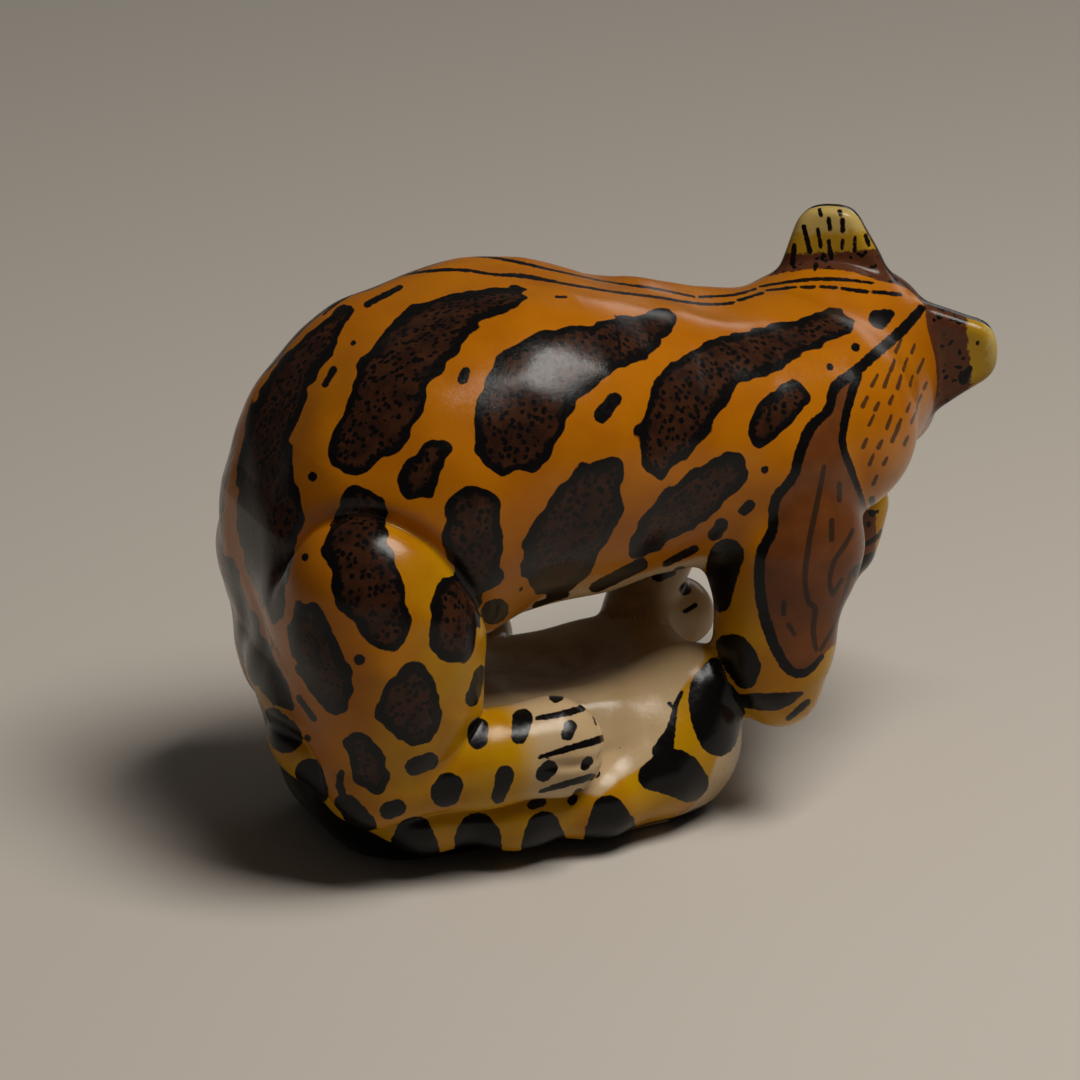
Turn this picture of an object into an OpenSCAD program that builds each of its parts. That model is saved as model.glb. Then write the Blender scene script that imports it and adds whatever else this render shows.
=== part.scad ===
/* [Figure] */
// Length of the whole figure, from the rump to the tip of the right ear
figure_length = 51; // [40:1:60]
// Distance of each flank from the body's middle plane, added to the body's own roundness
flank = 3.2; // [2:0.1:4]

/* [Head] */
// Turn of the head to the cat's left
head_turn = 60; // [45:1:70]
// Tilt of the head, right side down
head_tilt = 40; // [25:1:45]

/* [Tail] */
// Thickness of the tail
tail_d = 5.2; // [5:0.1:6]

/* [Hidden] */

orange = [0.78, 0.47, 0.08];
yellow = [0.82, 0.63, 0.12];
brown = [0.36, 0.18, 0.10];
cream = [0.85, 0.76, 0.60];

// All skeleton points below are [x, y, z, radius] for a figure this long
drawn_length = 51;
k = figure_length / drawn_length;
facets = 20;

// The body, from low on the rump over the back to the shoulders
spine = [[-10, 0, 12.5, 6.8], [-8.3, 0, 19.6, 9.2], [-7.4, 0, 23, 9.2], [-5.2, 0, 25, 9.4],
         [-1, 0, 26.2, 9.4], [2.5, 0, 26, 9.2], [9, 0, 25.5, 7.8], [14, 0, 24.6, 7.4], [20, 0.3, 24.6, 7.1]];
belly = [[-4, 0, 21.6, 7.2], [3, 0, 22.6, 7.2], [10, 0, 23.2, 6.8], [15, 0, 23.6, 6.6]];
neck = [[20, 0.3, 24.6, 7.1], [23, 2.5, 24.8, 6.5]];

head_at = [25, 5, 25.4];
// Head points are measured forward, to the cat's left, and up from head_at
skull = [[-1, 0, 1, 6.4], [1.5, 0, 0, 5.8]];
cheek = [[0, 0, 0, 5], [3, 3, -1.8, 3.2]];
// The right cheek is fuller than the left one
right_cheek = [[0, 0, 0, 5], [1.5, 4.3, 0, 3.5]];
snout = [[3.5, 0, -1, 3.6], [7, 0, -1.6, 2.9]];
chin = [[3, 0, -3.4, 2.6], [6.4, 0, -3.6, 1.7]];
ear = [[-1, 2.2, 5.2, 2.4], [-1, 4.5, 3.1, 2.4], [-0.5, 5.7, 6.5, 2.5]];
// Thickness of an ear against its breadth
ear_flatness = 0.5;

upper_arm = [[16, 6, 23.2, 5.4], [16.3, 7, 18, 5.1], [15.5, 7.8, 11.7, 3.8]];
elbow = [[15.3, 8, 9.7, 3], [15.6, 8, 8.5, 2.4]];
forearm = [[16, 7.8, 8.2, 2.3], [18.2, 4.5, 10.6, 2.3], [22, 1.5, 13.6, 2.3]];
raised_paw = [[23.2, 0.6, 14.8, 2.4], [24, 0.4, 17.6, 2.4]];
foreleg = [[15, 5, 21, 5], [12.6, 5.6, 14.6, 3], [12, 5.6, 11, 2.5]];
forepaw = [[11.8, 5.6, 9.6, 2.5], [14.6, 5.8, 9.2, 2.3]];

thigh = [[-12, 8.4, 19.6, 6.2], [-11.3, 8.9, 16.6, 6], [-10.9, 8.6, 12.4, 5.5]];
shank = [[-10.9, 8.6, 12.4, 5.3], [-12, 8.8, 7.4, 3.8]];
hind_foot = [[-12, 9, 7.2, 3.8], [-5.6, 10.2, 7.7, 3.2], [-0.9, 10.2, 7.8, 3.6]];
// The left hind leg is drawn up a little further than the right one
left_leg_forward = 2;

tail_path = [[-14.4, -1, 12], [-15, -4.6, 8.8], [-12.6, -7.4, 6], [-9, -8.8, 4.2], [-3, -9.2, 3.6],
             [3, -8.9, 3.4], [7.2, -8.2, 4.2], [10.2, -7.4, 6.3], [11.2, -6.8, 9]];

// The ground that the cat crouches round, and the hollow across its top
ground = [[-8, 3, 5, 6.4], [8.6, 2.6, 4.8, 6.2]];
hollow_at = [2, 1.5, 28.4];
hollow_r = 20;

module ball(p) {
    translate([p[0], p[1], p[2]] * k) sphere(r = p[3] * k, $fn = facets);
}

// Round cones joining each point of a path to the next
module chain(points) {
    for (i = [0 : len(points) - 2])
        hull() {
            ball(points[i]);
            ball(points[i + 1]);
        }
}

// The same, with every ball doubled on both sides of the middle plane
module wide_chain(points, apart) {
    side = [0, apart, 0, 0];
    for (i = [0 : len(points) - 2])
        hull() {
            ball(points[i] + side);
            ball(points[i] - side);
            ball(points[i + 1] + side);
            ball(points[i + 1] - side);
        }
}

// Limbs are drawn on the cat's left; side is 1 for left and -1 for right
module limb(points, side) {
    chain([for (p = points) [p[0], side * p[1], p[2], p[3]]]);
}

module hind_limb(points, side) {
    forward = side > 0 ? left_leg_forward : 0;
    limb([for (p = points) p + [forward, 0, 0, 0]], side);
}

module in_head() {
    translate(head_at * k) rotate([0, 0, head_turn]) rotate([head_tilt, 0, 0]) children();
}

module torso_shape() {
    wide_chain(spine, flank);
    wide_chain(belly, flank);
    chain(neck);
}

module skull_shape() {
    in_head() {
        chain(skull);
        limb(cheek, 1);
        limb(cheek, -1);
        limb(right_cheek, -1);
    }
}

module muzzle_shape() {
    in_head() {
        chain(snout);
        chain(chin);
    }
}

module ear_shape(side) {
    in_head() hull() for (p = ear)
        translate([p[0], side * p[1], p[2]] * k)
            scale([ear_flatness, 1, 1]) sphere(r = p[3] * k, $fn = facets);
}

module upper_arm_shape() {
    limb(upper_arm, -1);
    limb(elbow, -1);
}

module thigh_shape(side) {
    hind_limb(thigh, side);
    hind_limb(shank, side);
}

module tail_shape() {
    chain([for (p = tail_path) [p[0], p[1], p[2], tail_d / 2]]);
}

module base_shape() {
    difference() {
        hull() for (p = ground, side = [-1, 1]) ball([p[0], side * p[1], p[2], p[3]]);
        translate(hollow_at * k) sphere(r = hollow_r * k, $fn = 48);
        translate([-drawn_length, -drawn_length, -2 * drawn_length] * k) cube(2 * drawn_length * k);
    }
}

module base() color(cream) base_shape();

module tail() color(yellow) difference() {
    tail_shape();
    base_shape();
    hind_limb(hind_foot, -1);
}

module hind_foot(side) color(yellow) difference() {
    hind_limb(hind_foot, side);
    base_shape();
}

module thigh(side) color(orange) difference() {
    thigh_shape(side);
    base_shape();
    hind_limb(hind_foot, side);
    if (side < 0) tail_shape();
}

module right_forepaw() color(yellow) limb(raised_paw, -1);

module right_forearm() color(yellow) difference() {
    limb(forearm, -1);
    limb(raised_paw, -1);
    base_shape();
    tail_shape();
}

module right_upper_arm() color(brown) difference() {
    upper_arm_shape();
    limb(forearm, -1);
    base_shape();
    tail_shape();
}

module left_forepaw() color(cream) difference() {
    limb(forepaw, 1);
    base_shape();
}

module left_foreleg() color(yellow) difference() {
    limb(foreleg, 1);
    limb(forepaw, 1);
    base_shape();
}

module ear(side) color(brown) ear_shape(side);

module muzzle() color(cream) muzzle_shape();

module head() color(orange) difference() {
    skull_shape();
    muzzle_shape();
    ear_shape(1);
    ear_shape(-1);
}

module torso() color(orange) difference() {
    torso_shape();
    skull_shape();
    muzzle_shape();
    ear_shape(1);
    ear_shape(-1);
    upper_arm_shape();
    limb(foreleg, 1);
    thigh_shape(1);
    thigh_shape(-1);
    tail_shape();
    base_shape();
}

base();
torso();
head();
muzzle();
ear(1);  // left_ear
ear(-1);  // right_ear
right_upper_arm();
right_forearm();
right_forepaw();
left_foreleg();
left_forepaw();
thigh(-1);  // right_thigh
hind_foot(-1);  // right_hind_foot
thigh(1);  // left_thigh
hind_foot(1);  // left_hind_foot
tail();
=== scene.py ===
"""A small carved and painted nut figure: a crouching spotted cat on its own cream ground."""
import math

import bpy
import numpy as np
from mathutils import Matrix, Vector
from mathutils.bvhtree import BVHTree


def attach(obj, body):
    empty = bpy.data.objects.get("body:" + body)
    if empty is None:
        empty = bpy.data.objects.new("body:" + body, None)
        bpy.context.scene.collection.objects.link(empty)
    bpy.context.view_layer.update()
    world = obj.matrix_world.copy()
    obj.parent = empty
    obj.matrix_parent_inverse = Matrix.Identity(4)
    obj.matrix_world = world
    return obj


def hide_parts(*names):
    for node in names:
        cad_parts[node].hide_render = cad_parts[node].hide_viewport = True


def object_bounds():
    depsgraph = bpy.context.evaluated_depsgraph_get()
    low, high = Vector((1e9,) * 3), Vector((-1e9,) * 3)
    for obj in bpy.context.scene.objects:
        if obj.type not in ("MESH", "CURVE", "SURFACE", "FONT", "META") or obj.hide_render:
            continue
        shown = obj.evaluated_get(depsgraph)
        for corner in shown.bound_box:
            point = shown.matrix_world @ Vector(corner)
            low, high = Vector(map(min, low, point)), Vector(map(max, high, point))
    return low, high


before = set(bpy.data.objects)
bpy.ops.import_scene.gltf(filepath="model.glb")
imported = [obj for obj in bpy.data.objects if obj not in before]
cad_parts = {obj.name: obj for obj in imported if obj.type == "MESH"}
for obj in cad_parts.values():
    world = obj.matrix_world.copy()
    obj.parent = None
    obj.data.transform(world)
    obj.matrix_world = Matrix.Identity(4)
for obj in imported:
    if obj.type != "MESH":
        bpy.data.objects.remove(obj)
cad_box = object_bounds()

# Everything below is drawn in millimetres for a figure this long, then scaled to the CAD box
DRAWN_LENGTH = 52.1
MM = (cad_box[1][0] - cad_box[0][0]) / DRAWN_LENGTH
# The distances given where no piece reaches, and where no mark is near
FAR = 50.0
NO_MARK = 3.0
# The carving grid's spacing, and the room it leaves round the figure
STEP = 0.17
MARGIN = 1.2

# The direction the figure is looked at and drawn from: azimuth and elevation
AZIMUTH = math.radians(-22)
ELEVATION = math.radians(20)
VIEW_RIGHT = Vector((math.cos(AZIMUTH), math.sin(AZIMUTH), 0))
VIEW_UP = Vector((-math.sin(AZIMUTH) * math.sin(ELEVATION), math.cos(AZIMUTH) * math.sin(ELEVATION),
                  math.cos(ELEVATION)))
VIEW_BACK = VIEW_RIGHT.cross(VIEW_UP)

# ---- the skeleton: [x, y, z, radius]

SPINE = [(-11.5, 0, 12, 5.5), (-9.1, 0, 20, 8.6), (-7.4, 0, 23, 9.2), (-5.2, 0, 25, 9.4),
         (-1, 0, 26.2, 9.4), (2.5, 0, 26, 9.2), (9, 0, 25.5, 7.8), (14, 0, 24.6, 7.4),
         (20, 0.3, 24.6, 7.1)]
BELLY = [(-4, 0, 21.6, 7.2), (3, 0, 22.6, 7.2), (10, 0, 23.2, 6.8), (15, 0, 23.6, 6.6)]
NECK = [(20, 0.3, 24.6, 7.1), (23, 2.5, 24.8, 6.5)]
FLANK = 3.2

HEAD_AT = np.array((25, 5, 25.4))
HEAD_TURN = math.radians(60)
HEAD_TILT = math.radians(40)
SKULL = [(-1, 0, 1, 6.4), (1.5, 0, 0, 5.8)]
CHEEK = [(0, 0, 0, 5), (3, 3, -1.8, 3.2)]
RIGHT_CHEEK = [(0, 0, 0, 5), (1.5, -4.3, 0, 3.5)]
SNOUT = [(3.5, 0, -1, 3.6), (7, 0, -1.6, 2.9)]
CHIN = [(3, 0, -3.4, 2.6), (6.4, 0, -3.6, 1.7)]
EAR = [(-1, 2.2, 5.2, 2.35), (-1, 4.5, 3.1, 2.35), (-0.5, 5.7, 6.5, 2.35)]
EAR_THICKNESS = 2.1

UPPER_ARM = [(16, 6, 23.2, 5.4), (16.3, 7, 18, 5.1), (15.5, 7.8, 11.7, 3.8), (15.3, 8, 9.7, 3),
             (15.6, 8, 8.5, 2.4)]
FOREARM = [(16, 7.8, 8.2, 2.3), (18.2, 4.5, 10.6, 2.3), (22, 1.5, 13.6, 2.3)]
RAISED_PAW = [(23.2, 0.6, 14.8, 2.4), (24, 0.4, 17.6, 2.4)]
FORELEG = [(15, 5, 21, 5), (12.6, 5.6, 14.6, 3), (12, 5.6, 11, 2.5)]
FOREPAW = [(11.8, 5.6, 9.6, 2.5), (14.6, 5.8, 9.2, 2.3)]
THIGH = [(-12, 8.4, 19.6, 6.2), (-11.3, 8.9, 16.6, 6), (-10.9, 8.6, 12.4, 5.5), (-12, 8.8, 7.4, 3.8)]
HIND_FOOT = [(-12, 9, 7.2, 3.8), (-5.6, 10.2, 7.7, 3.2), (-0.9, 10.2, 7.8, 3.6)]
LEFT_LEG_FORWARD = 2
TAIL_RADIUS = 2.6
TAIL = [(x, y, z, TAIL_RADIUS) for x, y, z in (
    (-14.4, -1, 12), (-15, -4.6, 8.8), (-12.6, -7.4, 6), (-9, -8.8, 4.2), (-3, -9.2, 3.6),
    (3, -8.9, 3.4), (7.2, -7.6, 4.3), (9.7, -6.7, 6.3), (10.8, -6.1, 8.8))]
GROUND = [(-8, 3, 5, 6.4), (8.6, 2.6, 4.8, 6.2)]
HOLLOW = (2, 1.5, 28.4, 20)


def side_of(points, side, forward=0):
    """Points drawn on the cat's left, moved to its left (1) or right (-1) side."""
    return [(x + forward, side * y, z, r) for x, y, z, r in points]


def head_axes():
    """The head's forward, left and up directions in the figure's frame."""
    ahead = np.array((math.cos(HEAD_TURN), math.sin(HEAD_TURN), 0))
    level = np.array((-math.sin(HEAD_TURN), math.cos(HEAD_TURN), 0))
    rise = np.array((0.0, 0.0, 1.0))
    left = level * math.cos(HEAD_TILT) + rise * math.sin(HEAD_TILT)
    up = rise * math.cos(HEAD_TILT) - level * math.sin(HEAD_TILT)
    return np.array((ahead, left, up))


def in_head(points, side=1):
    """Points measured forward, left and up from the head's middle, in the figure's frame."""
    axes = head_axes()
    return [(*(HEAD_AT + np.array((x, side * y, z)) @ axes), r) for x, y, z, r in points]


# ---- distance fields on one grid

LOW = np.array([v / MM for v in cad_box[0]]) - MARGIN
HIGH = np.array([v / MM for v in cad_box[1]]) + MARGIN
# The grid's layers lie half a step from the table, so that the flat underside comes out at zero height
LOW[2] = -(math.ceil(MARGIN / STEP) + 0.5) * STEP
AXES = [np.arange(LOW[i], HIGH[i] + STEP, STEP, dtype=np.float32) for i in range(3)]
SHAPE = tuple(len(a) for a in AXES)


def smooth_min(a, b, blend):
    """The lesser of two distances, rounded where they come within blend of each other."""
    h = np.maximum(blend - np.abs(a - b), 0) / blend
    return np.minimum(a, b) - h * h * blend / 4


def smooth_max(a, b, blend):
    return -smooth_min(-a, -b, blend)


def dot(a, b):
    return a[0] * b[0] + a[1] * b[1] + a[2] * b[2]


def nearest_on(offset, run):
    """How far along a run the point nearest to an offset lies, from 0 to 1, and its squared distance."""
    h = np.clip(dot(offset, run) / max(float(run @ run), 1e-6), 0, 1)
    dx, dy, dz = offset
    return h, (dx - run[0] * h) ** 2 + (dy - run[1] * h) ** 2 + (dz - run[2] * h) ** 2


def cone(x, y, z, a, b, spread=0.0):
    """Distance to the round cone between two balls, drawn out by spread to both sides."""
    a, b = np.asarray(a, np.float32), np.asarray(b, np.float32)
    run = b[:3] - a[:3]
    dx, dy, dz = x - a[0], y - a[1], z - a[2]
    if spread:
        dy = dy - np.clip(dy, -spread, spread)
    h, square = nearest_on((dx, dy, dz), run)
    return np.sqrt(square) - (a[3] + (b[3] - a[3]) * h)


class Window:
    """The part of the grid round some balls, as open coordinate arrays and slices."""

    def __init__(self, points, margin=3.0, spread=0.0):
        p = np.array(points, float)
        low = (p[:, :3] - p[:, 3:]).min(0) - margin
        high = (p[:, :3] + p[:, 3:]).max(0) + margin
        low[1] -= spread
        high[1] += spread
        first = np.clip(np.floor((low - LOW) / STEP).astype(int), 0, SHAPE)
        last = np.clip(np.ceil((high - LOW) / STEP).astype(int) + 1, 0, SHAPE)
        self.cut = tuple(slice(a, b) for a, b in zip(first, last))
        self.x = AXES[0][self.cut[0]][:, None, None]
        self.y = AXES[1][self.cut[1]][None, :, None]
        self.z = AXES[2][self.cut[2]][None, None, :]

    def from_point(self, x, y, z):
        """Distance from one point."""
        return np.sqrt((self.x - x) ** 2 + (self.y - y) ** 2 + (self.z - z) ** 2)

    def chain(self, points, blend=1.0, spread=0.0):
        """Distance to the round cones along a path, blended into one limb."""
        found = None
        for a, b in zip(points[:-1], points[1:]):
            d = cone(self.x, self.y, self.z, a, b, spread)
            found = d if found is None else smooth_min(found, d, blend)
        # blending swells a limb where its cones meet; this takes the swelling back
        return found + (0.2 * blend if len(points) > 2 else 0)


class Figure:
    """The whole carving: its surface, and which piece each point of the grid belongs to."""

    def __init__(self):
        self.surface = np.full(SHAPE, FAR, np.float32)
        self.best = np.full(SHAPE, FAR, np.float32)
        self.second = np.full(SHAPE, FAR, np.float32)
        self.owner = np.zeros(SHAPE, np.uint8)
        self.names = ["outside"]

    def add(self, name, window, distance, blend, crease=0.0):
        """Joins a piece on, with a crease along the join; blend and crease may vary over the window."""
        self.names.append(name)
        cut = window.cut
        before = self.surface[cut].copy()
        groove = crease * np.exp(-((distance - before) / 0.5) ** 2)
        self.surface[cut] = smooth_min(before, distance, blend) + groove
        best, second = self.best[cut], self.second[cut]
        nearer = distance < best
        second[...] = np.where(nearer, best, np.minimum(second, distance))
        self.owner[cut][nearer] = len(self.names) - 1
        best[nearer] = distance[nearer]

    def carve(self, points, blend=0.3):
        """Cuts a groove or hollow along a path of balls."""
        window = Window(points, margin=1.0)
        cut = window.cut
        tool = window.chain(points, 0.3)
        self.surface[cut] = smooth_max(self.surface[cut], -tool, blend)


def step_between(value, low, high):
    """0 below low, 1 above high, eased between."""
    t = np.clip((value - low) / (high - low), 0, 1)
    return t * t * (3 - 2 * t)


def add_limb(figure, name, points, blend, chain_blend=1.0):
    window = Window(points)
    figure.add(name, window, window.chain(points, chain_blend), blend)


def add_ground(figure):
    """The nut's own ground: a low block, hollow on top."""
    corners = [(x, side * y, z, r) for x, y, z, r in GROUND for side in (-1, 1)]
    window = Window(corners)
    block = window.chain([(x, 0, z, r) for x, y, z, r in GROUND], 1.0, spread=GROUND[1][1])
    hollow = window.from_point(*HOLLOW[:3]) - HOLLOW[3]
    figure.add("base", window, smooth_max(block, -hollow, 1.6), 0.2)


def add_torso(figure):
    window = Window(SPINE + NECK, spread=FLANK)
    trunk = window.chain(SPINE, 1.5, spread=FLANK)
    trunk = smooth_min(trunk, window.chain(BELLY, 1.0, spread=FLANK), 1.2)
    trunk = smooth_min(trunk, window.chain(NECK, 2.0), 2.0)
    figure.add("torso", window, trunk, 0.6)
    # the space under the belly runs on behind the thighs
    figure.carve([(-4, -6, 12.6, 3), (-4, 6, 12.6, 3)], 1.5)


def add_thigh(figure, name, side):
    """A hind leg: its top and front edge stand clear of the flank, its back runs into the rump."""
    points = side_of(THIGH, side, LEFT_LEG_FORWARD if side > 0 else 0)
    if side > 0:
        # the left thigh is a little slimmer at its top
        points[0] = (*points[0][:3], 5.4)
    window = Window(points)
    behind = step_between(points[0][0] + 0.5 - window.x, 0.0, 4.0) * step_between(22 - window.z, 0.0, 5.0)
    blend, crease = 0.4 + 4.0 * behind, 0.45 * (1 - behind)
    figure.add(name, window, window.chain(points, 2.0), blend, crease)


def add_tail(figure):
    """The tail: a clear ridge along the foot, sunk into the rump and the ground at its ends."""
    window = Window(TAIL)
    sunk = step_between(window.x, 1.0, 6.0)
    root = step_between(window.z, 9.0, 11.0) * step_between(-window.x, 4.0, 8.0)
    blend, crease = 0.35 + 3.0 * (sunk + root), 0.35 * (1 - sunk) * (1 - root)
    figure.add("tail", window, window.chain(TAIL, 2.0), blend, crease)


def add_head(figure):
    skull = in_head(SKULL)
    cheeks = [in_head(CHEEK, side) for side in (1, -1)]
    window = Window(skull + cheeks[0] + cheeks[1])
    head = window.chain(skull)
    for cheek in cheeks + [in_head(RIGHT_CHEEK)]:
        head = smooth_min(head, window.chain(cheek), 1.5)
    figure.add("head", window, head, 2.5)
    snout, chin = in_head(SNOUT), in_head(CHIN)
    window = Window(snout + chin)
    figure.add("muzzle", window, smooth_min(window.chain(snout), window.chain(chin), 0.4), 1.0)


def triangle_distances(x, y, z, corners):
    """Distance to a triangle's plane, and distance from the triangle along that plane."""
    normal = np.cross(corners[1] - corners[0], corners[2] - corners[0])
    normal = normal / np.linalg.norm(normal)
    across = dot((x - corners[0][0], y - corners[0][1], z - corners[0][2]), normal)
    edge_square, inside = None, True
    for i in range(3):
        start, run = corners[i], corners[(i + 1) % 3] - corners[i]
        offset = (x - start[0], y - start[1], z - start[2])
        h, square = nearest_on(offset, run)
        edge_square = square if edge_square is None else np.minimum(edge_square, square)
        inside = inside & (dot(offset, np.cross(run, normal)) <= 0)
    beside = np.sqrt(np.maximum(edge_square - across * across, 0))
    return np.abs(across), np.where(inside, 0, beside)


def add_ear(figure, name, side):
    """A rounded blade, hollow at the front."""
    points = in_head(EAR, side)
    window = Window(points)
    corners = [np.array(p[:3]) for p in points]
    across, beside = triangle_distances(window.x, window.y, window.z, corners)
    blade = smooth_max(across - EAR_THICKNESS / 2, beside - EAR[0][3], 0.9)
    bowl = sum(corners) / 3 + head_axes()[0] * 2.1
    hollow = window.from_point(*bowl) - 1.9
    figure.add(name, window, smooth_max(blade, -hollow, 0.6), 0.5)


def carve_details(figure):
    """Grooves and hollows that the knife leaves: toes, mouth, eyes."""
    for side, forward in ((-1, 0), (1, LEFT_LEG_FORWARD)):
        for lift in (-2.0, 0.0, 2.0):
            toe = [(-2.6, 13.6, 7.9, 0.35), (1.0, 13.5, 7.7, 0.5), (2.9, 11.4, 7.6, 0.5)]
            raised = [(x, y, z + lift, r) for x, y, z, r in toe]
            figure.carve(side_of(raised, side, forward))
    for side in (-1, 1):
        eye = in_head([(5.6, 2.4, 1.5, 1.0)] * 2, side)
        figure.carve(eye, 0.5)
        lip = in_head([(9.6, 0.0, -3.0, 0.25), (8.6, 1.8, -3.1, 0.3), (6.0, 3.0, -2.9, 0.25)], side)
        figure.carve(lip)
    figure.carve(in_head([(10.2, 0, -1.2, 0.2), (9.9, 0, -3.0, 0.25)]))


def unevenness(x, y, z):
    """The unevenness of a surface shaped by hand, in millimetres: broad swells and shorter ones."""
    broad = np.sin(0.55 * x + 0.8) * np.sin(0.5 * y + 2.1) * np.sin(0.6 * z + 0.4)
    short = np.sin(1.15 * x + 1.7) * np.sin(1.3 * z + 2.6) * np.sin(1.05 * y + 0.9)
    return 0.12 * broad + 0.05 * short


def carve_figure():
    figure = Figure()
    add_ground(figure)
    add_torso(figure)
    add_thigh(figure, "right_thigh", -1)
    add_thigh(figure, "left_thigh", 1)
    add_limb(figure, "right_hind_foot", side_of(HIND_FOOT, -1), 0.5, 1.5)
    add_limb(figure, "left_hind_foot", side_of(HIND_FOOT, 1, LEFT_LEG_FORWARD), 0.5, 1.5)
    add_tail(figure)
    add_limb(figure, "left_foreleg", FORELEG, 1.5, 1.5)
    add_limb(figure, "left_forepaw", FOREPAW, 0.6)
    add_limb(figure, "right_upper_arm", side_of(UPPER_ARM, -1), 1.2, 2.0)
    add_limb(figure, "right_forearm", side_of(FOREARM, -1), 0.6, 1.5)
    add_limb(figure, "right_forepaw", side_of(RAISED_PAW, -1), 0.6)
    add_head(figure)
    add_ear(figure, "left_ear", 1)
    add_ear(figure, "right_ear", -1)
    carve_details(figure)
    x, y, z = AXES[0][:, None, None], AXES[1][None, :, None], AXES[2][None, None, :]
    figure.surface += unevenness(x, y, z)
    # nothing reaches past the CAD figure's box, and the underside is flat on the table
    inset, rounding = 0.05, 0.4
    for place, low, high in zip((x, y, z), *cad_box):
        if place is not z:
            figure.surface = smooth_max(figure.surface, low / MM + inset - place, rounding)
        figure.surface = smooth_max(figure.surface, place - high / MM + inset, rounding)
    figure.surface = np.maximum(figure.surface, -z)
    return figure


# ---- from the grid to closed meshes

# The eight corners of a grid cell
CORNERS = [(i, j, k) for i in (0, 1) for j in (0, 1) for k in (0, 1)]


def shifted(array, offset):
    """The grid's cell corner at an offset of 0 or 1 along each axis."""
    return array[tuple(slice(o, n - 1 + o) for o, n in zip(offset, array.shape))]


def cell_points(figure, label):
    """One vertex in each grid cell where owners meet: its place, and whether it is on the outside."""
    edges = [(a, b) for a in CORNERS for b in CORNERS
             if sum(b) - sum(a) == 1 and all(q >= p for p, q in zip(a, b))]
    first = shifted(label, (0, 0, 0))
    mixed = np.zeros(first.shape, bool)
    for c in CORNERS[1:]:
        mixed |= shifted(label, c) != first
    cells = np.argwhere(mixed)
    index = np.full(first.shape, -1, np.int32)
    index[mixed] = np.arange(len(cells))
    gap = figure.second - figure.best
    sums = {True: np.zeros((len(cells), 3)), False: np.zeros((len(cells), 3))}
    counts = {True: np.zeros(len(cells)), False: np.zeros(len(cells))}
    for a, b in edges:
        ia, ib = tuple((cells + a).T), tuple((cells + b).T)
        la, lb = label[ia], label[ib]
        surface_a, surface_b = figure.surface[ia], figure.surface[ib]
        for outer in (True, False):
            if outer:
                use = (la != lb) & ((la == 0) | (lb == 0))
                t = surface_a / np.where(use, surface_a - surface_b, 1)
            else:
                use = (la != lb) & (la != 0) & (lb != 0)
                t = gap[ia] / np.maximum(gap[ia] + gap[ib], 1e-6)
            t = np.clip(t, 0.02, 0.98)
            place = np.array(a) + t[:, None] * (np.array(b) - np.array(a))
            sums[outer][use] += place[use]
            counts[outer][use] += 1
    outside = counts[True] > 0
    total = np.where(outside[:, None], sums[True], sums[False])
    count = np.where(outside, counts[True], counts[False])
    return LOW + STEP * (cells + total / np.maximum(count, 1)[:, None]), outside, index


def piece_faces(label, index, number):
    """The quads round one owner's part of the grid, facing out of it."""
    quads = []
    for axis in range(3):
        others = [i for i in range(3) if i != axis]
        low = [slice(None)] * 3
        high = [slice(None)] * 3
        low[axis], high[axis] = slice(0, -1), slice(1, None)
        for i in others:
            low[i] = high[i] = slice(1, -1)
        mine_low = label[tuple(low)] == number
        mine_high = label[tuple(high)] == number
        for inside_low in (True, False):
            hit = mine_low & ~mine_high if inside_low else ~mine_low & mine_high
            at = np.argwhere(hit)
            for i in others:
                at[:, i] += 1
            ring = []
            for u, v in ((0, 0), (1, 0), (1, 1), (0, 1)):
                cell = at.copy()
                cell[:, others[0]] -= 1 - u
                cell[:, others[1]] -= 1 - v
                ring.append(index[tuple(cell.T)])
            quad = np.stack(ring, 1)
            forward = inside_low == (axis != 1)
            quads.append(quad if forward else quad[:, ::-1])
    return np.concatenate(quads)


def outward_normals(figure, points):
    """The direction of steepest rise of the carving's surface field at each point."""
    spot = (points - LOW) / STEP
    normal = np.zeros_like(points)
    for axis in range(3):
        push = np.zeros(3)
        push[axis] = 0.8
        normal[:, axis] = sample(figure.surface, spot + push) - sample(figure.surface, spot - push)
    return normal / np.maximum(np.linalg.norm(normal, axis=1, keepdims=True), 1e-9)


def sample(array, spot):
    """Values between the grid's points."""
    spot = np.clip(spot, 0, np.array(array.shape) - 1.001)
    base = np.floor(spot).astype(int)
    part = spot - base
    total = np.zeros(len(spot))
    for corner in CORNERS:
        weight = np.ones(len(spot))
        for axis, o in enumerate(corner):
            weight *= part[:, axis] if o else 1 - part[:, axis]
        total += weight * array[tuple((base + corner).T)]
    return total


class Carving:
    """The meshed figure: every vertex, its normal, and the outside as one surface to draw on."""

    def __init__(self, figure):
        self.label = np.where(figure.surface < 0, figure.owner, 0).astype(np.uint8)
        self.names = figure.names[1:]
        self.points, self.outside, self.index = cell_points(figure, self.label)
        self.normals = outward_normals(figure, self.points)
        self.faces = {name: piece_faces(self.label, self.index, number)
                      for number, name in enumerate(self.names, 1)}
        skin = [quads[self.outside[quads].all(1)] for quads in self.faces.values()]
        self.skin = BVHTree.FromPolygons(self.points.tolist(), np.concatenate(skin).tolist())

    def on(self, *names):
        """True for the vertices of the named pieces."""
        mask = np.zeros(len(self.points), bool)
        for name in names:
            mask[self.faces[name].ravel()] = True
        return mask


# ---- drawing on the surface

# How much depth counts against sideways distance when a mark is laid on the surface
SQUASH = 0.3
# How far before an easel's middle the rays start that find the surface, clear of the figure
STAND_OFF = 60
# A ray that misses looks for the nearest surface from this far before the middle
MISS_OFF = 3
# The middle of the easel that faces the right flank
EASEL_MIDDLE = (7, 0, 0)


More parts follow.
